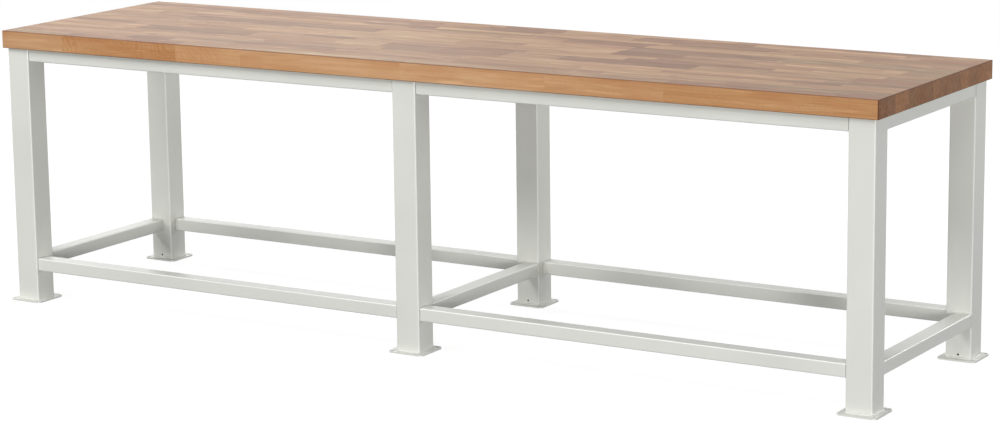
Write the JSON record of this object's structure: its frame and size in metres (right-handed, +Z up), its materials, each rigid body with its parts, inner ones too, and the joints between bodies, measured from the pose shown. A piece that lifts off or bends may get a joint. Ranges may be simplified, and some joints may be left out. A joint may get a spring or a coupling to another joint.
{
  "type": "heavy duty workbench",
  "caption": "Long steel workbench with a thick laminated wooden worktop on three welded trestles joined by bolted rails.",
  "frame": {"origin": "on the floor, under the middle of the bench", "axes": "+X lengthways to the right seen from the front, +Y from the front to the rear, +Z up"},
  "size_m": [3.016, 0.816, 0.87],
  "materials": {
    "beech": "oiled, satin",
    "frame_paint": "light grey powder coat, semi-gloss",
    "zinc_steel": "bright zinc plate"
  },
  "bodies": {
    "root": {"worktop": "beech", "left_front_leg": "frame_paint", "left_rear_leg": "frame_paint", "middle_front_leg": "frame_paint", "middle_rear_leg": "frame_paint", "right_front_leg": "frame_paint", "right_rear_leg": "frame_paint", "left_front_foot_plate": "frame_paint", "left_rear_foot_plate": "frame_paint", "middle_front_foot_plate": "frame_paint", "middle_rear_foot_plate": "frame_paint", "right_front_foot_plate": "frame_paint", "right_rear_foot_plate": "frame_paint", "left_upper_cross_rail": "frame_paint", "middle_upper_cross_rail": "frame_paint", "right_upper_cross_rail": "frame_paint", "left_lower_cross_rail": "frame_paint", "middle_lower_cross_rail": "frame_paint", "right_lower_cross_rail": "frame_paint", "left_front_upper_rail": "frame_paint", "right_front_upper_rail": "frame_paint", "left_rear_upper_rail": "frame_paint", "right_rear_upper_rail": "frame_paint", "left_front_lower_rail": "frame_paint", "right_front_lower_rail": "frame_paint", "left_rear_lower_rail": "frame_paint", "right_rear_lower_rail": "frame_paint", "left_frame_spigots": "frame_paint", "middle_frame_spigots": "frame_paint", "right_frame_spigots": "frame_paint", "upper_rail_bolts": "zinc_steel", "upper_rail_weld_nuts": "zinc_steel", "lower_rail_bolts": "zinc_steel", "lower_rail_weld_nuts": "zinc_steel", "front_worktop_cleats": "frame_paint", "rear_worktop_cleats": "frame_paint", "cross_worktop_cleats": "frame_paint", "worktop_screws": "zinc_steel", "worktop_washers": "zinc_steel"}
  },
  "joints": []
}
